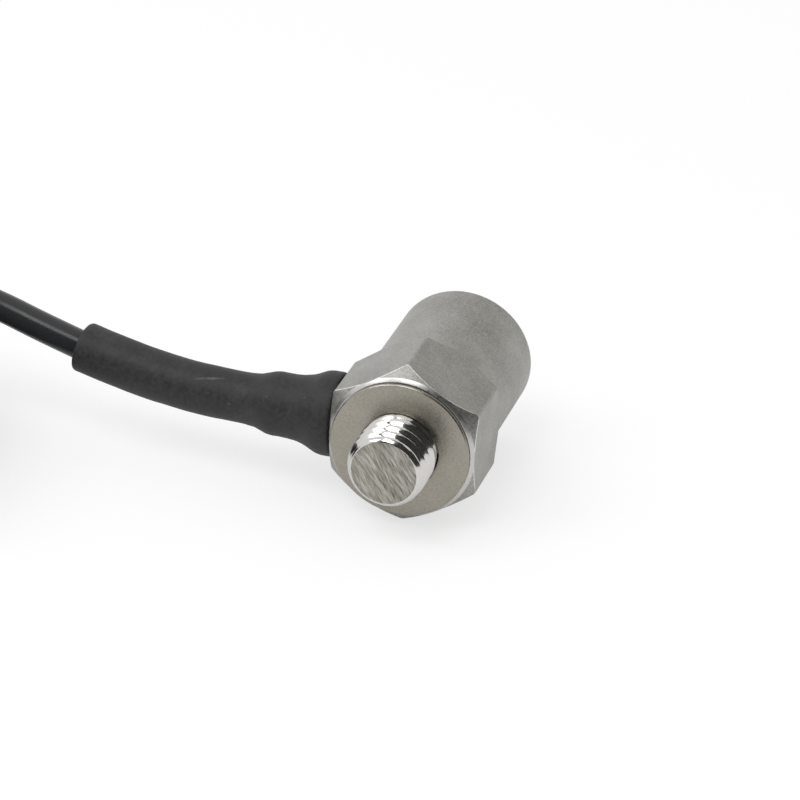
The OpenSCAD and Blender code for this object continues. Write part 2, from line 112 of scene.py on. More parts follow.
# Profiles of the far end's sleeve and wire ferrules: radius and place along, in millimetres
END_SLEEVE = [
    (1.56, -0.02), (1.88, 0), (1.98, 0.12), (2, 0.6), (1.97, 2.6), (1.92, 4.4), (1.86, 5.6),
    (1.76, 5.92), (1.5, 6), (0, 5.95),
]
FERRULE_COLLAR = [
    (0.62, 0), (1.02, 0), (1.1, 0.08), (1.1, 0.5), (1.02, 0.75), (0.92, 1.6), (0.9, 3.3),
    (0.84, 3.48), (0.6, 3.5), (0.45, 3.4),
]
FERRULE_PIN = [
    (0.5, 3.3), (0.5, 4.2), (0.44, 4.35), (0.5, 4.5), (0.5, 5.2), (0.44, 5.35), (0.5, 5.5),
    (0.5, 6.2), (0.44, 6.35), (0.5, 6.5), (0.5, 7.82), (0.42, 7.98), (0.3, 8.0), (0, 7.94),
]


def point(values):
    """A point given in millimetres."""
    return Vector(values) * MM


def outward(degrees):
    """The level direction at an angle round an upright axis."""
    angle = math.radians(degrees)
    return Vector((math.cos(angle), math.sin(angle), 0))


def off_axis(place):
    """How far a place is from the sensor's axis."""
    return math.hypot(place.x, place.z - AXIS_Z)


def clamp(value, low=0):
    """A value held between a lower limit and 1."""
    return min(max(value, low), 1)


def eased(share):
    """A share that starts and stops softly."""
    return share * share * (3 - 2 * share)


# Meshes


def revolve(bm, profile, origin, axis, steps):
    """Turns a profile of (radius, distance along the axis), in millimetres, about the axis."""
    side = axis.orthogonal().normalized()
    verts = [
        bm.verts.new(origin + axis * (along * MM) + side * (radius * MM))
        for radius, along in profile
    ]
    edges = [bm.edges.new(pair) for pair in zip(verts, verts[1:])]
    bmesh.ops.spin(
        bm, geom=verts + edges, cent=origin, axis=axis, angle=math.tau, steps=steps,
        use_merge=True, use_normal_flip=False, use_duplicate=False,
    )
    bmesh.ops.remove_doubles(bm, verts=bm.verts, dist=1e-7)
    bmesh.ops.recalc_face_normals(bm, faces=bm.faces)


def station(centre, way, radius):
    """The matrix that puts a unit ring square across a direction."""
    side = way.cross(UP).normalized()
    turn = Matrix((side, side.cross(way), way)).transposed().to_4x4()
    return Matrix.Translation(centre) @ turn @ Matrix.Scale(radius, 4)


def sweep(bm, stations, sides):
    """Draws one ring out through the stations, each a centre, a direction and a radius."""
    ring = bmesh.ops.create_circle(bm, cap_ends=False, segments=sides, radius=1)["verts"]
    last = Matrix.Identity(4)
    for number, values in enumerate(stations):
        if number:
            edges = {e for v in ring for e in v.link_edges if e.other_vert(v) in ring}
            made = bmesh.ops.extrude_edge_only(bm, edges=list(edges))["geom"]
            ring = [g for g in made if isinstance(g, bmesh.types.BMVert)]
        here = station(*values)
        bmesh.ops.transform(bm, matrix=here @ last.inverted(), verts=ring)
        last = here
    bmesh.ops.recalc_face_normals(bm, faces=bm.faces)


def line_through(points, step):
    """Points about a step apart on a smooth line through the given ones."""
    line = []
    for i, (here, after) in enumerate(zip(points, points[1:])):
        before = points[max(i - 1, 0)]
        beyond = points[min(i + 2, len(points) - 1)]
        count = max(2, round((after - here).length / step))
        line += interpolate_bezier(
            here, here + (after - before) / 6, after - (beyond - here) / 6, after, count + 1
        )[:-1]
    return line + [points[-1]]


def ways(line):
    """The direction at each point of a line."""
    last = len(line) - 1
    return [
        (line[min(i + 1, last)] - line[max(i - 1, 0)]).normalized() for i in range(last + 1)
    ]


def from_table(table, place):
    """A value read from a table of (place, value) pairs, straight between them."""
    for (low, at_low), (high, at_high) in zip(table, table[1:]):
        if place <= high:
            return at_low + (at_high - at_low) * clamp((place - low) / (high - low))
    return table[-1][1]


def cad_copy(node):
    """A bmesh of a CAD node with its triangles merged into clean faces."""
    bm = bmesh.new()
    bm.from_mesh(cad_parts[node].data)
    bmesh.ops.remove_doubles(bm, verts=bm.verts, dist=1e-6)
    bmesh.ops.dissolve_limit(
        bm, angle_limit=math.radians(0.4), use_dissolve_boundaries=False,
        verts=bm.verts, edges=bm.edges,
    )
    return bm


def round_edges(bm, edges, width, segments, slide=False):
    """Rounds the edges and gives the new faces."""
    return bmesh.ops.bevel(
        bm, geom=edges, offset=width, offset_type="OFFSET", affect="EDGES", segments=segments,
        profile=0.5, material=-1, clamp_overlap=True, loop_slide=slide,
    )["faces"]


def break_edges(bm, width, least_radius, furthest):
    """Rounds the sharp edges that lie on the sensor's outside, in front of the furthest place."""
    sharp = [
        e for e in bm.edges
        if len(e.link_faces) == 2 and e.calc_face_angle() > math.radians(24)
        and min(off_axis(v.co) for v in e.verts) > least_radius
        and min(v.co.y for v in e.verts) < furthest
    ]
    return round_edges(bm, sharp, width, 2, slide=True)


def place_mesh(name, bm, materials):
    """Puts the bmesh into the scene as an object with the given materials."""
    mesh = bpy.data.meshes.new(name)
    bm.to_mesh(mesh)
    bm.free()
    for material in materials:
        mesh.materials.append(material)
    thing = bpy.data.objects.new(name, mesh)
    bpy.context.scene.collection.objects.link(thing)
    return thing


def take_place(piece, nodes):
    """Lets a piece ride on the sensor and stand for the given CAD nodes."""
    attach(piece, "root")
    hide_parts(*nodes)


def close_piece(name, bm, materials, nodes, sharp_angle=35):
    """Makes the bmesh a piece of the sensor that stands for the given CAD nodes."""
    piece = place_mesh(name, bm, materials)
    piece.data.shade_smooth()
    piece.data.set_sharp_from_angle(angle=math.radians(sharp_angle))
    take_place(piece, nodes)
    return piece


def even_flats(piece):
    """Shades the flat faces evenly up to their rounded edges."""
    even = piece.modifiers.new("Even Flats", "WEIGHTED_NORMAL")
    even.keep_sharp = True


# Materials


# Where most of a noise texture's values lie
NOISE_SPAN = (0.3, 0.7)


def socket_label(name):
    """The label of a node's input by its name in a call."""
    return name.replace("_", " ").title().replace("Ior", "IOR")


def add_node(tree, kind, place, **settings):
    """Adds a shader node; a setting names one of its inputs, or one of its own values."""
    node = tree.nodes.new(kind)
    node.location = (place[0] * 200, place[1] * -200)
    for name, value in settings.items():
        label = socket_label(name)
        if label in node.inputs:
            node.inputs[label].default_value = value
        else:
            setattr(node, name, value)
    return node


def colour_between(tree, place, factor, low, high):
    """A colour that a factor takes from one to another."""
    mix = add_node(tree, "ShaderNodeMix", place, data_type="RGBA")
    mix.inputs[6].default_value = (*low, 1)
    mix.inputs[7].default_value = (*high, 1)
    tree.links.new(factor, mix.inputs[0])
    return mix.outputs[2]


def value_between(tree, place, factor, low, high, start=0.0, end=1.0):
    """A value that a factor takes from one to another."""
    reach = add_node(tree, "ShaderNodeMapRange", place, from_min=start, from_max=end,
                     to_min=low, to_max=high)
    tree.links.new(factor, reach.inputs["Value"])
    return reach.outputs[0]


def combine(tree, place, operation, first, second, **settings):
    """The result of a Math node on two values."""
    node = add_node(tree, "ShaderNodeMath", place, operation=operation, **settings)
    tree.links.new(first, node.inputs[0])
    tree.links.new(second, node.inputs[1])
    return node.outputs[0]


def new_group(name, inputs, outputs):
    """An empty shader node group with the given float inputs and outputs."""
    tree = bpy.data.node_groups.new(name, "ShaderNodeTree")
    for label, value in inputs.items():
        socket = tree.interface.new_socket(label, in_out="INPUT", socket_type="NodeSocketFloat")
        socket.default_value = value
    for label in outputs:
        tree.interface.new_socket(label, in_out="OUTPUT", socket_type="NodeSocketFloat")
    taken = add_node(tree, "NodeGroupInput", (-4, 0))
    given = add_node(tree, "NodeGroupOutput", (4, 0))
    return tree, taken, given


def grain_group():
    """Fine pits of a blasted surface, and a tone made of them and of slow clouds."""
    if "Blasted Grain" in bpy.data.node_groups:
        return bpy.data.node_groups["Blasted Grain"]
    tree, taken, given = new_group(
        "Blasted Grain", {"Pit Scale": 4400.0, "Cloud Scale": 220.0}, ("Tone", "Pits")
    )
    where = add_node(tree, "ShaderNodeTexCoord", (-3, 1))
    pits = add_node(tree, "ShaderNodeTexNoise", (-1, 0), detail=3.0, roughness=0.7)
    clouds = add_node(tree, "ShaderNodeTexNoise", (-1, 2), detail=4.0, roughness=0.6)
    for texture, scale in ((pits, "Pit Scale"), (clouds, "Cloud Scale")):
        tree.links.new(where.outputs["Object"], texture.inputs["Vector"])
        tree.links.new(taken.outputs[scale], texture.inputs["Scale"])
    # The pits count twice as much as the clouds
    tone = add_node(tree, "ShaderNodeMath", (1, 1), operation="MULTIPLY_ADD")
    tone.inputs[1].default_value = 2.0
    tree.links.new(pits.outputs["Fac"], tone.inputs[0])
    tree.links.new(clouds.outputs["Fac"], tone.inputs[2])
    tree.links.new(tone.outputs[0], given.inputs["Tone"])
    tree.links.new(pits.outputs["Fac"], given.inputs["Pits"])
    return tree


def scuff_group():
    """Light rubbed marks, dust specks and the skin's grain on a dark plastic surface."""
    if "Scuffs" in bpy.data.node_groups:
        return bpy.data.node_groups["Scuffs"]
    tree, taken, given = new_group(
        "Scuffs", {"Scale": 300.0, "Speck Scale": 1500.0}, ("Rub", "Specks", "Skin")
    )
    where = add_node(tree, "ShaderNodeTexCoord", (-3, 1))
    patches = add_node(tree, "ShaderNodeTexNoise", (-1, 0), detail=5.0, roughness=0.65)
    specks = add_node(tree, "ShaderNodeTexVoronoi", (-1, 2))
    skin = add_node(tree, "ShaderNodeTexNoise", (-1, 4), scale=2600.0, detail=3.0)
    for texture in (patches, specks, skin):
        tree.links.new(where.outputs["Object"], texture.inputs["Vector"])
    tree.links.new(taken.outputs["Scale"], patches.inputs["Scale"])
    tree.links.new(taken.outputs["Speck Scale"], specks.inputs["Scale"])
    rub = add_node(tree, "ShaderNodeMapRange", (1, 0), interpolation_type="SMOOTHSTEP",
                   from_min=0.5, from_max=0.78)
    tree.links.new(patches.outputs["Fac"], rub.inputs["Value"])
    # Only some of the texture's cells have a speck
    dots = value_between(tree, (1, 2), specks.outputs["Distance"], 0, 1, 0.16, 0.1)
    few = value_between(tree, (1, 3), specks.outputs["Color"], 0, 1, 0.7, 0.85)
    tree.links.new(rub.outputs[0], given.inputs["Rub"])
    tree.links.new(combine(tree, (2, 2), "MULTIPLY", dots, few), given.inputs["Specks"])
    tree.links.new(skin.outputs["Fac"], given.inputs["Skin"])
    return tree


def place_group(tree, group, place, **values):
    """Puts a node group into a material with its own values."""
    return add_node(tree, "ShaderNodeGroup", place, node_tree=group, **values)


def new_material(name, **values):
    """A material with a Principled BSDF whose plain values are set on its own sockets."""
    material = bpy.data.materials.new(name)
    material.use_nodes = True
    shader = material.node_tree.nodes["Principled BSDF"]
    for label, value in values.items():
        shader.inputs[socket_label(label)].default_value = value
    return material, material.node_tree, shader


def dress(tree, shader, colour, rough, height, strength, distance):
    """Feeds a colour and a roughness into the shader, and a height into its bump."""
    lift = add_node(tree, "ShaderNodeBump", (-2, 3), strength=strength, distance=distance)
    for result, socket in (
        (colour, shader.inputs["Base Color"]), (rough, shader.inputs["Roughness"]),
        (height, lift.inputs["Height"]), (lift.outputs["Normal"], shader.inputs["Normal"]),
    ):
        tree.links.new(result, socket)


def blasted_steel(name, low, high, rough_low, rough_high, pitted):
    """Bead-blasted stainless steel."""
    material, tree, shader = new_material(name, metallic=1.0)
    grain = place_group(tree, grain_group(), (-5, 0))
    pits = grain.outputs["Pits"]
    tone = value_between(tree, (-4, 0), grain.outputs["Tone"], 0, 1, 1.08, 1.92)
    dress(
        tree, shader, colour_between(tree, (-2, 0), tone, low, high),
        value_between(tree, (-2, 2), pits, rough_low, rough_high, *NOISE_SPAN),
        pits, pitted, 0.09 * MM,
    )
    return material


def polished_steel():
    """Bright steel with fine turning lines round the stud's axis."""
    material, tree, shader = new_material("polished_steel", metallic=1.0)
    where = add_node(tree, "ShaderNodeTexCoord", (-7, 0))
    across = add_node(tree, "ShaderNodeMapping", (-6, 0), scale=(900.0, 16000.0, 900.0))
    texture = add_node(tree, "ShaderNodeTexNoise", (-5, 0), scale=1.0, detail=3.0)
    tree.links.new(where.outputs["Object"], across.inputs["Vector"])
    tree.links.new(across.outputs[0], texture.inputs["Vector"])
    lines = texture.outputs["Fac"]
    dress(
        tree, shader,
        colour_between(tree, (-2, 0), lines, (0.52, 0.51, 0.49), (0.7, 0.69, 0.67)),
        value_between(tree, (-2, 2), lines, 0.07, 0.2, *NOISE_SPAN), lines, 0.12, 0.02 * MM,
    )
    return material


def ground_steel():
    """The stud's end, ground across with coarse slanting scratches."""
    material, tree, shader = new_material("ground_steel", metallic=1.0)
    where = add_node(tree, "ShaderNodeTexCoord", (-8, 0))
    layers = []
    for row, (slant, wide, long) in enumerate(((-50, 4200.0, 420.0), (-64, 9000.0, 800.0))):
        turned = add_node(tree, "ShaderNodeMapping", (-7, row * 2),
                          rotation=(0, math.radians(slant), 0))
        drawn = add_node(tree, "ShaderNodeMapping", (-6, row * 2), scale=(long, 400.0, wide))
        scratch = add_node(tree, "ShaderNodeTexNoise", (-5, row * 2), scale=1.0, detail=4.0,
                           roughness=0.65, distortion=0.4)
        tree.links.new(where.outputs["Object"], turned.inputs["Vector"])
        tree.links.new(turned.outputs[0], drawn.inputs["Vector"])
        tree.links.new(drawn.outputs[0], scratch.inputs["Vector"])
        layers.append(scratch.outputs["Fac"])
    both = combine(tree, (-4, 1), "ADD", *layers)
    tone = value_between(tree, (-3, 0), both, 0, 1, 0.75, 1.25)
    dress(
        tree, shader,
        colour_between(tree, (-2, 0), tone, (0.13, 0.12, 0.1), (0.47, 0.455, 0.405)),
        value_between(tree, (-2, 2), tone, 0.42, 0.26), both, 0.4, 0.04 * MM,
    )
    return material


def shrunk_sleeve(dark):
    """Matte shrink tubing with rubbed patches, specks and one light scuff."""
    light = (0.085, 0.083, 0.08)
    material, tree, shader = new_material("shrink_charcoal", ior=1.44)
    marks = place_group(tree, scuff_group(), (-6, 0), scale=260.0, speck_scale=1300.0)
    skin = marks.outputs["Skin"]

    # The scuff is a long thin ball with ragged edges
    where = add_node(tree, "ShaderNodeTexCoord", (-8, 4))
    lean = Matrix.Rotation(math.radians(34), 3, "X") @ Matrix.Rotation(math.radians(12), 3, "Z")
    scuff = add_node(tree, "ShaderNodeMapping", (-6, 4), vector_type="TEXTURE",
                     location=point((-21.1, -5.1, 10.8)), rotation=lean.to_euler(),
                     scale=point((2.1, 0.2, 0.9)))
    ball = add_node(tree, "ShaderNodeTexGradient", (-5, 4), gradient_type="SPHERICAL")
    torn = add_node(tree, "ShaderNodeTexNoise", (-5, 6), scale=2200.0, detail=4.0)
    tree.links.new(where.outputs["Object"], scuff.inputs["Vector"])
    tree.links.new(scuff.outputs[0], ball.inputs["Vector"])
    tree.links.new(where.outputs["Object"], torn.inputs["Vector"])
    ragged = value_between(tree, (-4, 6), torn.outputs["Fac"], 0.6, 1.6, 0.4, 0.6)
    mark = combine(tree, (-4, 4), "MULTIPLY", ball.outputs["Fac"], ragged)

    faint = value_between(tree, (-4, 0), marks.outputs["Rub"], 0, 0.22)
    grain = value_between(tree, (-5, 2), skin, 0, 0.25, *NOISE_SPAN)
    mottle = combine(tree, (-4, 1), "ADD", grain, faint)
    dots = value_between(tree, (-4, 2), marks.outputs["Specks"], 0, 0.8)
    most = combine(tree, (-3, 1), "MAXIMUM", mottle, dots)
    total = combine(tree, (-3, 3), "MAXIMUM", most, mark, use_clamp=True)
    dress(
        tree, shader, colour_between(tree, (-2, 0), total, dark, light),
        value_between(tree, (-2, 2), skin, 0.5, 0.66, *NOISE_SPAN), skin, 0.25, 0.06 * MM,
    )
    return material


def plastic(name, colour, rough_low, rough_high, rub=0.12, lift=0.05, ior=1.5):
    """A plain moulded or drawn plastic with faint rubbed patches."""
    material, tree, shader = new_material(name, ior=ior)
    marks = place_group(tree, scuff_group(), (-6, 0), scale=240.0)
    skin = marks.outputs["Skin"]
    worn = tuple(channel * 0.8 + lift for channel in colour)
    faint = value_between(tree, (-4, 0), marks.outputs["Rub"], 0, rub)
    dress(
        tree, shader, colour_between(tree, (-2, 0), faint, colour, worn),
        value_between(tree, (-2, 2), skin, rough_low, rough_high, *NOISE_SPAN),
        skin, 0.06, 0.03 * MM,
    )
    return material


def plain_finish(name, colour, metallic, rough):
    """A plain finish with a little grain, for inner pieces, turned edges and pins."""
    material, tree, shader = new_material(name, metallic=metallic)
    grain = place_group(tree, grain_group(), (-5, 0), pit_scale=3000.0, cloud_scale=400.0)
    pits = grain.outputs["Pits"]
    darker = tuple(channel * 0.82 for channel in colour)
    tone = value_between(tree, (-4, 0), grain.outputs["Tone"], 0, 1, 0.95, 2.05)
    dress(
        tree, shader, colour_between(tree, (-2, 0), tone, darker, colour),
        value_between(tree, (-2, 2), pits, rough - 0.06, rough + 0.06, *NOISE_SPAN),
        pits, 0.1, 0.03 * MM,
    )
    return material


# Settings


class SensorSizes(bpy.types.PropertyGroup):
    """Sizes of the finishing that the CAD model leaves open."""

    edge_break: FloatProperty(
        name="Edge Break", description="Rounding of the hexagon's turned edges",
        default=0.13 * MM, min=0.02 * MM, max=0.2 * MM, unit="LENGTH", precision=5,
    )
    thread_pitch: FloatProperty(
        name="Thread Pitch", description="Pitch of the stud's thread",
        default=1.25 * MM, min=0.5 * MM, max=2 * MM, unit="LENGTH", precision=5,
    )
    thread_depth: FloatProperty(
        name="Thread Depth", description="Depth of the stud's rounded thread",
        default=0.46 * MM, min=0.1 * MM, max=0.8 * MM, unit="LENGTH", precision=5,
    )
    lead_in: FloatProperty(
        name="Lead In", description="Length of the stud's rounded lead-in",
        default=0.8 * MM, min=0.3 * MM, max=1.2 * MM, unit="LENGTH", precision=5,
    )
    cable_d: FloatProperty(
        name="Cable Diameter", description="Outside diameter of the cable",
        default=3.1 * MM, min=2 * MM, max=4 * MM, unit="LENGTH", precision=5,
    )
    turn_space: FloatProperty(
        name="Turn Space", description="Space between neighbouring turns of the coil",
        default=0.05 * MM, min=0.02 * MM, max=0.2 * MM, unit="LENGTH", precision=5,
    )
    coil_columns: IntProperty(
        name="Coil Columns", description="Turns that lie side by side in the coil",
        default=4, min=2, max=6,
    )
    coil_rows: IntProperty(
        name="Coil Rows", description="Turns that lie on each other in the coil",
        default=5, min=2, max=6,
    )


class SensorColours(bpy.types.PropertyGroup):
    """Base colours of the finishes that show."""

    steel_low: FloatVectorProperty(
        name="Steel, Dark", description="Dark tone of the blasted steel",
        subtype="COLOR", default=(0.245, 0.24, 0.223), min=0, max=1,
    )
    steel_high: FloatVectorProperty(
        name="Steel, Light", description="Light tone of the blasted steel",
        subtype="COLOR", default=(0.436, 0.429, 0.406), min=0, max=1,
    )
    sleeve: FloatVectorProperty(
        name="Sleeve", description="Colour of the shrink sleeve",
        subtype="COLOR", default=(0.009, 0.009, 0.0098), min=0, max=1,
    )
    cable: FloatVectorProperty(
        name="Cable", description="Colour of the cable's jacket",
        subtype="COLOR", default=(0.019, 0.0195, 0.021), min=0, max=1,
    )
    tie: FloatVectorProperty(
        name="Tie", description="Colour of the coil's tie",
        subtype="COLOR", default=(0.012, 0.012, 0.012), min=0, max=1,
    )
    signal: FloatVectorProperty(
        name="Signal Lead", description="Colour of the signal lead",
        subtype="COLOR", default=(0.3, 0.02, 0.015), min=0, max=1,
    )
    floor: FloatVectorProperty(
        name="Floor", description="Colour of the floor",
        subtype="COLOR", default=(0.9, 0.9, 0.9), min=0, max=1,
    )


class SensorStage(bpy.types.PropertyGroup):
    """Strength of the light on the stage."""

    key_power: FloatProperty(
        name="Key Light", description="Power of each of the two soft key lights, in watts",
        default=0.56, min=0, max=50,
    )
    sky: FloatProperty(
        name="Sky", description="Strength of the even light all round",
        default=0.85, min=0, max=2,
    )


# Pieces


class SENSOR_OT_housing(bpy.types.Operator):
    """Finish the housing with broken edges and blasted steel"""

    bl_idname = "sensor.housing"
    bl_label = "Housing"

    def execute(self, context):
        colours = context.scene.sensor_colours
        steel = blasted_steel(
            "blasted_steel", colours.steel_low, colours.steel_high, 0.4, 0.52, 0.5
        )
        rim = plain_finish("turned_rim", (0.6, 0.59, 0.57), 1.0, 0.32)
        burnished = plain_finish("burnished_edge", (0.9, 0.89, 0.87), 1.0, 0.3)
        finishes = [steel, rim, burnished]
        bm = cad_copy("housing")
        broken = break_edges(
            bm, context.scene.sensor_sizes.edge_break, HOUSING_EDGE_R, BLEND_START
        )
        # The turned rim and the chamfer's edges are smoother than the blasted faces
        bm.normal_update()
        for face in broken:
            if -0.9 < face.normal.y < -0.2:
                face.material_index = finishes.index(burnished)
        for face in bm.faces:
            middle = face.calc_center_median()
            if middle.y < WASHER_Y + 1 * MM and RIM_LOW < off_axis(middle) < RIM_HIGH:
                face.material_index = finishes.index(rim)
        housing = close_piece("steel_housing", bm, finishes, ["housing"], 32)
        # The flats run softly into the hollow blend
        for edge in housing.data.edges:
            if all(BLEND_START < housing.data.vertices[v].co.y < BLEND_END for v in edge.vertices):
                edge.use_edge_sharp = False
        even_flats(housing)
        return {"FINISHED"}


class SENSOR_OT_base(bpy.types.Operator):
    """Finish the base plate with its washer face"""

    bl_idname = "sensor.base_plate"
    bl_label = "Base Plate"

    def execute(self, context):
        steel = blasted_steel(
            "washer_steel", (0.268, 0.252, 0.216), (0.346, 0.326, 0.282), 0.25, 0.33, 0.15
        )
        bm = cad_copy("base_plate")
        break_edges(bm, context.scene.sensor_sizes.edge_break / 4, WASHER_EDGE_R, 0)
        base = close_piece("washer_base", bm, [steel], ["base_plate"], 32)
        even_flats(base)
        return {"FINISHED"}


class SENSOR_OT_stud(bpy.types.Operator):
    """Cut the stud's rounded thread, lead-in and ground end"""

    bl_idname = "sensor.stud"
    bl_label = "Mounting Stud"

    def execute(self, context):
        sizes = context.scene.sensor_sizes
        pitch, depth, lead = sizes.thread_pitch, sizes.thread_depth, sizes.lead_in
        tip_r = STUD_R - 0.66 * MM
        # Powers below 1 narrow the crests and round the lead-in
        crest_power, lead_power = 0.74, 0.72
        # Past its run-out the thread keeps only a share of its depth
        run_out, shallow = 4.3 * pitch, 0.2
        steps, points = 96, 16
        turns = math.ceil((WASHER_Y - STUD_TIP) / pitch) + 2
        axis = Vector((0, 1, 0))
        start = Vector((0, STUD_TIP - pitch, AXIS_Z))

        # One pitch of the thread's rounded form, turned along the stud
        bm = bmesh.new()
        form = []
        for i in range(points + 1):
            share = i / points
            wave = 0.5 + 0.5 * math.cos(math.tau * share)
            radius = STUD_R - depth * (1 - wave) ** crest_power
            form.append(bm.verts.new(start + axis * (pitch * share) + UP * radius))
        edges = [bm.edges.new(pair) for pair in zip(form, form[1:])]
        bmesh.ops.spin(
            bm, geom=form + edges, cent=start, axis=axis, dvec=axis * (pitch / steps),
            angle=math.tau * turns, steps=steps * turns, use_merge=False,
            use_normal_flip=False, use_duplicate=False,
        )
        bmesh.ops.remove_doubles(bm, verts=bm.verts, dist=1e-6)

        # Cut to length, a little way into the washer face, and turn the lead-in
        for place, way in ((STUD_TIP, -axis), (WASHER_Y + 0.25 * MM, axis)):
            bmesh.ops.bisect_plane(
                bm, geom=bm.verts[:] + bm.edges[:] + bm.faces[:], dist=1e-7,
                plane_co=(0, place, AXIS_Z), plane_no=way, clear_outer=True,
            )
        for vert in bm.verts:
            along = vert.co.y - STUD_TIP
            most = tip_r + (STUD_R - tip_r) * clamp(along / lead) ** lead_power
            full = clamp((run_out - along) / pitch, shallow)
            radius = off_axis(vert.co)
            wanted = min(STUD_R - (STUD_R - radius) * full, most)
            vert.co.x *= wanted / radius
            vert.co.z = AXIS_Z + (vert.co.z - AXIS_Z) * wanted / radius
        ends = [e for e in bm.edges if e.is_boundary]
        filled = bmesh.ops.holes_fill(bm, edges=ends, sides=0)["faces"]
        bmesh.ops.recalc_face_normals(bm, faces=bm.faces)
        for face in filled:
            if face.calc_center_median().y < STUD_TIP + 0.1 * MM:
                face.material_index = 1
        close_piece(
            "threaded_stud", bm, [polished_steel(), ground_steel()],
            ["mounting_stud"], 40,
        )
        return {"FINISHED"}


class SENSOR_OT_inner(bpy.types.Operator):
    """Give the pieces inside the case and under the sleeve their finishes"""

    bl_idname = "sensor.inner_pieces"
    bl_label = "Inner Pieces"

    def execute(self, context):
        for name, colour, metallic, rough, nodes in (
            ("piezo_ceramic", (0.72, 0.68, 0.58), 0.0, 0.6,
             ["piezo_ring_lower", "piezo_ring_upper"]),
            ("inner_steel", (0.5, 0.5, 0.49), 1.0, 0.35,
             ["spring_washer", "preload_screw", "cable_nipple"]),
            ("heavy_metal", (0.2, 0.2, 0.21), 1.0, 0.4, ["seismic_mass"]),
            ("contact_metal", (0.62, 0.46, 0.16), 1.0, 0.32,
             ["signal_electrode", "electrode_wire", "core_wire", "crimp_ferrule"]),
            ("white_insulation", (0.74, 0.73, 0.69), 0.0, 0.5,
             ["screw_tube", "liner_sleeve", "cable_core"]),
            ("board_green", (0.03, 0.12, 0.06), 0.0, 0.4, ["circuit_board"]),
            ("chip_black", (0.012, 0.012, 0.012), 0.0, 0.55, ["amplifier_chip"]),
            ("chip_tan", (0.34, 0.24, 0.12), 0.0, 0.5, ["small_chips"]),
            ("copper_braid", (0.5, 0.4, 0.3), 1.0, 0.45, ["cable_braid"]),
        ):
            finish = plain_finish(name, colour, metallic, rough)
            for node in nodes:
                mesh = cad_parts[node].data
                mesh.materials.clear()
                mesh.materials.append(finish)
        return {"FINISHED"}


class SENSOR_OT_sleeve(bpy.types.Operator):
    """Shrink the strain relief over the nipple, the ferrule and the cable"""

    bl_idname = "sensor.shrink_sleeve"
    bl_label = "Shrink Sleeve"

    def execute(self, context):
        cable_r = context.scene.sensor_sizes.cable_d / 2
        gap = SLEEVE_FORM[0][0] * MM
        bend = point(CABLE_BEND)
        start = Vector((FLAT_X - gap, bend.y, bend.z))
        line = line_through([start, (start + bend) / 2, bend], 0.2 * MM)[:-1]
        line += line_through([bend] + [point(p) for p in ROUTE[:SLEEVE_POINTS]], 0.4 * MM)
        directions = ways(line)
        away = directions[0] = Vector((-1, 0, 0))
        stations = [(start + away * (along * MM), away, r * MM) for along, r in SLEEVE_MOUTH]
        length = gap
        for i, (centre, way) in enumerate(zip(line, directions)):
            if i:
                length += (centre - line[i - 1]).length
            stations.append((centre, way, from_table(SLEEVE_FORM, length / MM) * MM))
        tip, way = line[-1], directions[-1]
        stations += [(tip + way * (along * MM), way, r * MM) for along, r in SLEEVE_LIP]

        bm = bmesh.new()
        sweep(bm, stations, 56)
        # The tube draws in a little unevenly as it shrinks
        for vert in bm.verts:
            near = min(line, key=lambda p: (p - vert.co).length_squared)
            out = vert.co - near
            if out.length > cable_r + 0.6 * MM:
                uneven = sum(noise.noise(vert.co * scale) * high for scale, high in SLEEVE_WAVES)
                vert.co += out.normalized() * (uneven * MM)
        charcoal = shrunk_sleeve(context.scene.sensor_colours.sleeve)
        close_piece("strain_sleeve", bm, [charcoal], ["shrink_sleeve"], 60)
        return {"FINISHED"}


def turn_pitch(sizes):
    """How far apart neighbouring turns of the coil lie."""
    return sizes.cable_d + sizes.turn_space


def far_end(sizes):
    """The last points of the cable's line, on top of the coil, in metres."""
    pitch = turn_pitch(sizes)
    out = outward(END_ANGLE)
    on = Vector((-out.y, out.x, 0))
    start = point((*COIL_CENTRE, 0)) + out * (COIL_R - (sizes.coil_columns - 0.5) * pitch)
    low = sizes.coil_rows * pitch + sizes.cable_d / 2 + sizes.turn_space
    high = sizes.coil_rows * pitch + 2 * MM + sizes.turn_space
    return [start + UP * low, start + on * (3 * MM) + UP * high, start + on * (6 * MM) + UP * high]


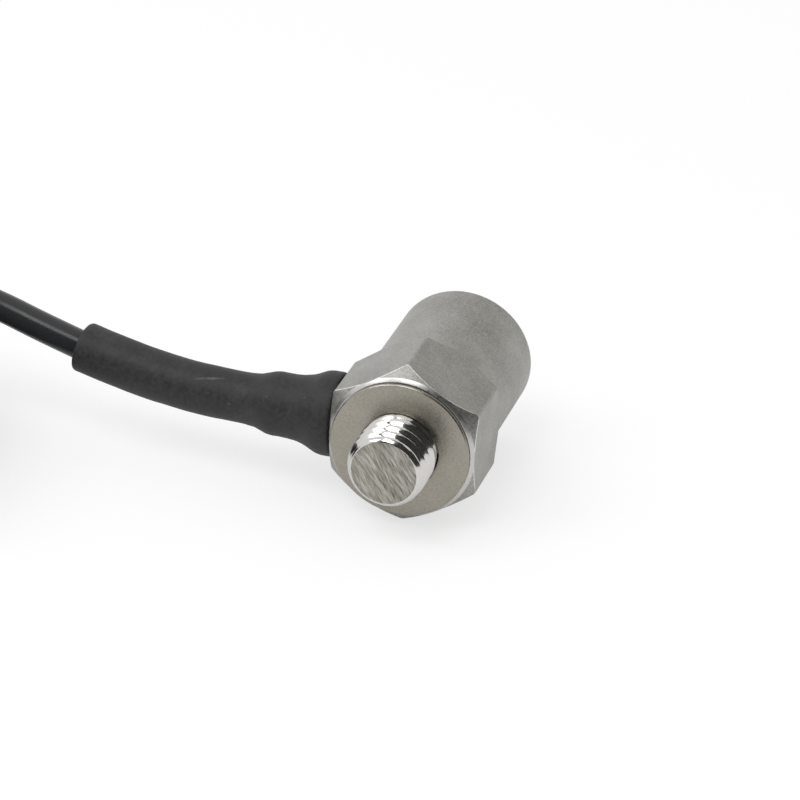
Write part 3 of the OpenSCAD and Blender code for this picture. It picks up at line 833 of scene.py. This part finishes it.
def coil_points(sizes):
    """Points of the coil from its highest turn to the climb on to its top, in metres."""
    pitch = turn_pitch(sizes)
    centre = point((*COIL_CENTRE, 0))
    low, high = pitch / 2, (sizes.coil_rows - 0.5) * pitch
    top = far_end(sizes)[0].z
    entry = point(ROUTE[-1]) - centre
    turned = math.degrees(math.atan2(entry.y, entry.x))
    radius, height = COIL_R - pitch / 2, high

    # Each column of turns goes down or up, and the cable then steps in to the next column
    stages = []
    for column in range(sizes.coil_columns):
        other = low if height == high else high
        stages.append((sizes.coil_rows - 1, radius, radius, height, other))
        height = other
        if column < sizes.coil_columns - 1:
            stages.append((1 / 3, radius, radius - pitch, height, height))
            radius -= pitch
    # The last column ends a third of a turn short of where the cable lies on the coil
    before = turned + sum(stage[0] for stage in stages[:-1]) * 360
    last = (END_ANGLE - 120 - before) % 360 / 360 + sizes.coil_rows - 2
    stages[-1] = (last, *stages[-1][1:])
    stages.append((1 / 3, radius, radius, height, top))

    points = []
    for turns, r_from, r_to, z_from, z_to in stages:
        steps = round(turns * TURN_POINTS)
        for i in range(1, steps + 1):
            share = i / steps
            angle = turned + 360 * turns * share
            off_tie = abs((angle - TIE_ANGLE + 180) % 360 - 180)
            over = eased(clamp((RISE_FROM - off_tie) / (RISE_FROM - RISE_TO))) * TIE_RISE
            ease = share if r_from == r_to else eased(share)
            at = r_from + (r_to - r_from) * ease
            level = z_from + (z_to - z_from) * share + over
            points.append(centre + outward(angle) * at + UP * level)
        turned += 360 * turns
    return points


class SENSOR_OT_far_end(bpy.types.Operator):
    """Make the sleeve, the two leads and the wire ferrules on the cable's far end"""

    bl_idname = "sensor.far_end"
    bl_label = "Far End"

    def execute(self, context):
        colours = context.scene.sensor_colours
        _, before, tip = far_end(context.scene.sensor_sizes)
        way = (tip - before).normalized()
        side = UP.cross(way).normalized()
        lead_r, from_middle, parting = 0.6 * MM, 0.65 * MM, math.radians(7)

        bm = bmesh.new()
        revolve(bm, END_SLEEVE, tip, way, 48)
        close_piece(
            "end_shrink", bm, [plastic("end_shrink", colours.sleeve, 0.5, 0.64)],
            ["end_sleeve"],
        )

        lead_start = tip + way * (6 * MM)
        grey = plastic("ferrule_collar", (0.2, 0.205, 0.215), 0.38, 0.5)
        tinned = plain_finish("tinned_pin", (0.55, 0.54, 0.52), 1.0, 0.28)
        bm = bmesh.new()
        for sign, node, slot, colour in (
            (1, "signal_lead", "lead_red", colours.signal),
            (-1, "screen_lead", "lead_black", colours.cable),
        ):
            # The leads leave the sleeve side by side and part as they go
            lean = Matrix.Rotation(parting * sign, 3, UP)
            out = lean @ way
            root = lead_start + side * (sign * from_middle)
            path = [root - way * (0.8 * MM), root + way * (0.4 * MM), root + out * (2 * MM),
                    root + out * (4.6 * MM)]
            line = line_through(path, 0.3 * MM)
            lead = bmesh.new()
            sweep(lead, [(p, w, lead_r) for p, w in zip(line, ways(line))], 24)
            bmesh.ops.holes_fill(
                lead, edges=[e for e in lead.edges if e.is_boundary], sides=0
            )
            bmesh.ops.recalc_face_normals(lead, faces=lead.faces)
            close_piece(
                "lead_" + node, lead, [plastic(slot, colour, 0.22, 0.34)], [node]
            )
            seat = root + out * (4.5 * MM)
            for material, profile in enumerate((FERRULE_COLLAR, FERRULE_PIN)):
                ring = bmesh.new()
                revolve(ring, profile, seat, out, 32)
                for face in ring.faces:
                    face.material_index = material
                mesh = bpy.data.meshes.new("ferrule_part")
                ring.to_mesh(mesh)
                ring.free()
                bm.from_mesh(mesh)
                bpy.data.meshes.remove(mesh)
        close_piece("ferrules", bm, [grey, tinned], ["wire_ferrules"])
        return {"FINISHED"}


class SENSOR_OT_tie(bpy.types.Operator):
    """Draw the tie round the coil, with its head on top"""

    bl_idname = "sensor.coil_tie"
    bl_label = "Coil Tie"

    def execute(self, context):
        bm = cad_copy("coil_tie")
        bm.normal_update()
        out = outward(TIE_ANGLE)
        across = UP.cross(out)
        reach = [out.dot(v.co) for v in bm.verts]
        middle = (min(reach) + max(reach)) / 2

        # The strap bends round the bundle's four corners
        corners = [
            e for e in bm.edges
            if abs((e.verts[1].co - e.verts[0].co).normalized().dot(across)) > 0.99
            and abs(out.dot(e.verts[0].co) - middle) > 5 * MM
        ]
        outer = [e for e in corners if e.is_convex]
        inner = [e for e in corners if not e.is_convex]
        for bent, radius in ((outer, 2.2 * MM), (inner, 1.2 * MM)):
            round_edges(bm, bent, radius, 6)
        sharp = [e for e in bm.edges if e.calc_face_angle() > math.radians(60)]
        round_edges(bm, sharp, 0.22 * MM, 3)

        # The cut tail in the head, and the two cheeks at its sides
        sizes = context.scene.sensor_sizes
        head = point((*COIL_CENTRE, 0)) + out * (
            COIL_R - sizes.coil_columns * turn_pitch(sizes) / 2
        )
        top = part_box("coil_tie")[1][2]
        turn = Matrix.Rotation(math.radians(TIE_ANGLE), 4, "Z")
        place = Matrix.Translation((head.x, head.y, top)) @ turn
        for size, centre, round_r in (
            ((1.1, 3.4, 0.9), (0.5, 0, 0.3), 0.16),
            ((3.4, 0.4, 0.5), (0, 2.55, -1.3), 0.1), ((3.4, 0.4, 0.5), (0, -2.55, -1.3), 0.1),
        ):
            block = bmesh.ops.create_cube(bm, size=1 * MM)["verts"]
            bmesh.ops.scale(bm, vec=size, verts=block)
            bmesh.ops.translate(bm, verts=block, vec=point(centre))
            bmesh.ops.transform(bm, matrix=place, verts=block)
            edges = list({e for v in block for e in v.link_edges})
            round_edges(bm, edges, round_r * MM, 3)
        nylon = plastic("tie_black", context.scene.sensor_colours.tie, 0.38, 0.5)
        close_piece("cable_tie", bm, [nylon], ["coil_tie"])
        return {"FINISHED"}


class SENSOR_OT_cable(bpy.types.Operator):
    """Lay the cable from the sleeve to its coil"""

    bl_idname = "sensor.cable"
    bl_label = "Cable"

    def execute(self, context):
        sizes = context.scene.sensor_sizes
        entry = line_through(
            [point(p) for p in [CABLE_START, CABLE_BEND] + ROUTE], 1.2 * MM
        )
        points = entry + coil_points(sizes)[:-1] + line_through(far_end(sizes), 0.8 * MM)
        data = bpy.data.curves.new("cable_line", "CURVE")
        data.dimensions = "3D"
        data.bevel_depth = sizes.cable_d / 2
        data.bevel_resolution = 6
        data.use_fill_caps = True
        spline = data.splines.new("POLY")
        spline.points.add(len(points) - 1)
        for item, place in zip(spline.points, points):
            item.co = (*place, 1)
        spline.use_smooth = True
        colours = context.scene.sensor_colours
        data.materials.append(plastic("cable_black", colours.cable, 0.16, 0.24, 0.1, 0.03, 1.4))
        cable = bpy.data.objects.new("cable_line", data)
        context.scene.collection.objects.link(cable)
        take_place(cable, ["cable_run", "cable_coil", "cable_end"])
        return {"FINISHED"}


# Stage


# Soft key lights side by side, above and in front: place and width in metres
LAMPS = {"key_left": ((-0.32, -0.2, 0.42), 0.23), "key_right": ((-0.065, -0.24, 0.42), 0.2)}

# Cards that only the metal shows, dark in front and on the right and grey at the back: tone,
# angle round the sensor, lower and upper edge and width in metres, and how far off they stand
CARDS = {
    "card_front": (0.05, 0, 0.06, 2.4, 0.8),
    "card_right": (0.05, 68, 0.0, 2.0, 0.9),
    "card_back": (0.75, 160, 0.1, 0.9, 0.6),
}
CARDS_OFF = 0.62
# A dark card behind the gap between the key lights
GAP_PLACE, GAP_TONE, GAP_WIDE, GAP_TALL = Vector((-0.195, -0.24, 0.46)), 0.02, 0.12, 0.26

# The photograph's view: a long lens, a little above and to the right of the stud
LENS, LENS_FRAME = 180, 36
CAMERA_PLACE = (0.09718, -0.34083, 0.19449)
CAMERA_RIGHT = Vector((0.9537, 0.2986, 0.0354))
CAMERA_DOWN = Vector((0.1682, -0.4319, -0.8861))
CAMERA_AHEAD = Vector((-0.2493, 0.8510, -0.4622))


def show_white(tree, lit, white, straight, mirrored, end):
    """Mixes white into what is lit, by one share seen straight and another in metal or glass."""
    path = add_node(tree, "ShaderNodeLightPath", (-4, 3))
    shares = []
    for row, (ray, share) in enumerate((
        ("Camera", straight), ("Glossy", mirrored), ("Transmission", mirrored),
    )):
        part = add_node(tree, "ShaderNodeMath", (-3, 3 + row), operation="MULTIPLY")
        part.inputs[1].default_value = share
        tree.links.new(path.outputs[f"Is {ray} Ray"], part.inputs[0])
        shares.append(part.outputs[0])
    mirrors = combine(tree, (-2, 4), "MAXIMUM", *shares[1:])
    mix = add_node(tree, "ShaderNodeMixShader", (2, 1))
    tree.links.new(combine(tree, (-1, 3), "MAXIMUM", shares[0], mirrors), mix.inputs[0])
    tree.links.new(lit.outputs[0], mix.inputs[1])
    tree.links.new(white.outputs[0], mix.inputs[2])
    tree.links.new(mix.outputs[0], tree.nodes[end].inputs["Surface"])


def facing(place, aim):
    """The matrix of a lamp or card at a place, turned to the aim."""
    return Matrix.LocRotScale(place, (place - aim).to_track_quat("Z", "Y"), None)


def hang_card(name, tone, wide, tall, place):
    """A plain card that shows only in what is glossy."""
    material = new_material(
        name, base_color=(tone, tone, tone * 0.96, 1), roughness=1.0, specular_ior_level=0.0
    )[0]
    bm = bmesh.new()
    bmesh.ops.create_grid(bm, x_segments=1, y_segments=1, size=0.5)
    bmesh.ops.transform(
        bm, verts=bm.verts, matrix=place @ Matrix.Diagonal((wide, tall, 1, 1))
    )
    card = place_mesh(name, bm, [material])
    card.visible_camera = False
    card.visible_diffuse = False
    card.visible_shadow = False


class SENSOR_OT_stage(bpy.types.Operator):
    """Set up the pale floor, the soft light and the camera"""

    bl_idname = "sensor.stage"
    bl_label = "Stage"

    def execute(self, context):
        scene = context.scene
        colours, stage = scene.sensor_colours, scene.sensor_stage
        scene.view_settings.view_transform = "Standard"

        # Floor: lit as a pale surface, and lifted to white where it is seen
        pale, tree, shader = new_material(
            "pale_floor", base_color=(*colours.floor, 1), roughness=0.9, specular_ior_level=0.0
        )
        glow = add_node(tree, "ShaderNodeEmission", (-1, 3), strength=1.0)
        show_white(tree, shader, glow, 0.65, 0.25, "Material Output")
        bm = bmesh.new()
        bmesh.ops.create_grid(bm, x_segments=1, y_segments=1, size=3)
        place_mesh("floor", bm, [pale])

        # Even light all round, white where it is seen
        world = scene.world or bpy.data.worlds.new("even_light")
        scene.world = world
        world.use_nodes = True
        tree = world.node_tree
        sky = tree.nodes["Background"]
        seen = add_node(tree, "ShaderNodeBackground", (0, 2))
        for light, strength in ((sky, stage.sky), (seen, 1.0)):
            light.inputs["Color"].default_value = (1, 1, 1, 1)
            light.inputs["Strength"].default_value = strength
        show_white(tree, sky, seen, 1.0, 1.0, "World Output")

        # Lamps and cards
        aim = Vector((0, 0, AXIS_Z))
        for name, (place, size) in LAMPS.items():
            lamp = bpy.data.lights.new(name, "AREA")
            lamp.energy = stage.key_power
            lamp.size = size
            light = bpy.data.objects.new(name, lamp)
            light.matrix_world = facing(Vector(place), aim)
            scene.collection.objects.link(light)
        for name, (tone, angle, low, high, wide) in CARDS.items():
            hang_card(
                name, tone, wide, high - low,
                Matrix.Rotation(math.radians(angle), 4, "Z")
                @ Matrix.Translation((0, -CARDS_OFF, (low + high) / 2))
                @ Matrix.Rotation(math.radians(90), 4, "X"),
            )
        hang_card("card_gap", GAP_TONE, GAP_WIDE, GAP_TALL, facing(GAP_PLACE, aim))

        # Camera
        lens = bpy.data.cameras.new("camera")
        lens.sensor_width = LENS_FRAME
        lens.lens = LENS
        lens.clip_start = 0.01
        lens.clip_end = 20
        camera = bpy.data.objects.new("camera", lens)
        turn = Matrix((CAMERA_RIGHT, -CAMERA_DOWN, -CAMERA_AHEAD)).transposed().to_4x4()
        camera.matrix_world = Matrix.Translation(CAMERA_PLACE) @ turn
        scene.collection.objects.link(camera)
        scene.camera = camera
        return {"FINISHED"}


class SENSOR_PT_panel(bpy.types.Panel):
    """The sensor's pieces and settings in the sidebar"""

    bl_idname = "SENSOR_PT_panel"
    bl_label = "Vibration Sensor"
    bl_space_type = "VIEW_3D"
    bl_region_type = "UI"
    bl_category = "Sensor"

    def draw(self, context):
        for group in ("sensor_sizes", "sensor_colours", "sensor_stage"):
            settings = getattr(context.scene, group)
            box = self.layout.box()
            for name in settings.__annotations__:
                box.prop(settings, name)
        for operator in OPERATORS:
            self.layout.operator(operator.bl_idname)


OPERATORS = (
    SENSOR_OT_housing, SENSOR_OT_base, SENSOR_OT_stud, SENSOR_OT_inner, SENSOR_OT_sleeve,
    SENSOR_OT_tie, SENSOR_OT_far_end, SENSOR_OT_cable, SENSOR_OT_stage,
)
SETTINGS = {
    "sensor_sizes": SensorSizes, "sensor_colours": SensorColours, "sensor_stage": SensorStage,
}


def register():
    for name, kind in SETTINGS.items():
        bpy.utils.register_class(kind)
        setattr(bpy.types.Scene, name, PointerProperty(type=kind))
    for kind in (*OPERATORS, SENSOR_PT_panel):
        bpy.utils.register_class(kind)


def unregister():
    for kind in (SENSOR_PT_panel, *reversed(OPERATORS)):
        bpy.utils.unregister_class(kind)
    for name, kind in reversed(SETTINGS.items()):
        delattr(bpy.types.Scene, name)
        bpy.utils.unregister_class(kind)


def main():
    register()
    bpy.ops.sensor.housing()
    bpy.ops.sensor.base_plate()
    bpy.ops.sensor.stud()
    bpy.ops.sensor.inner_pieces()
    bpy.ops.sensor.shrink_sleeve()
    bpy.ops.sensor.coil_tie()
    bpy.ops.sensor.far_end()
    bpy.ops.sensor.cable()
    bpy.ops.sensor.stage()


if __name__ == "__main__":
    main()
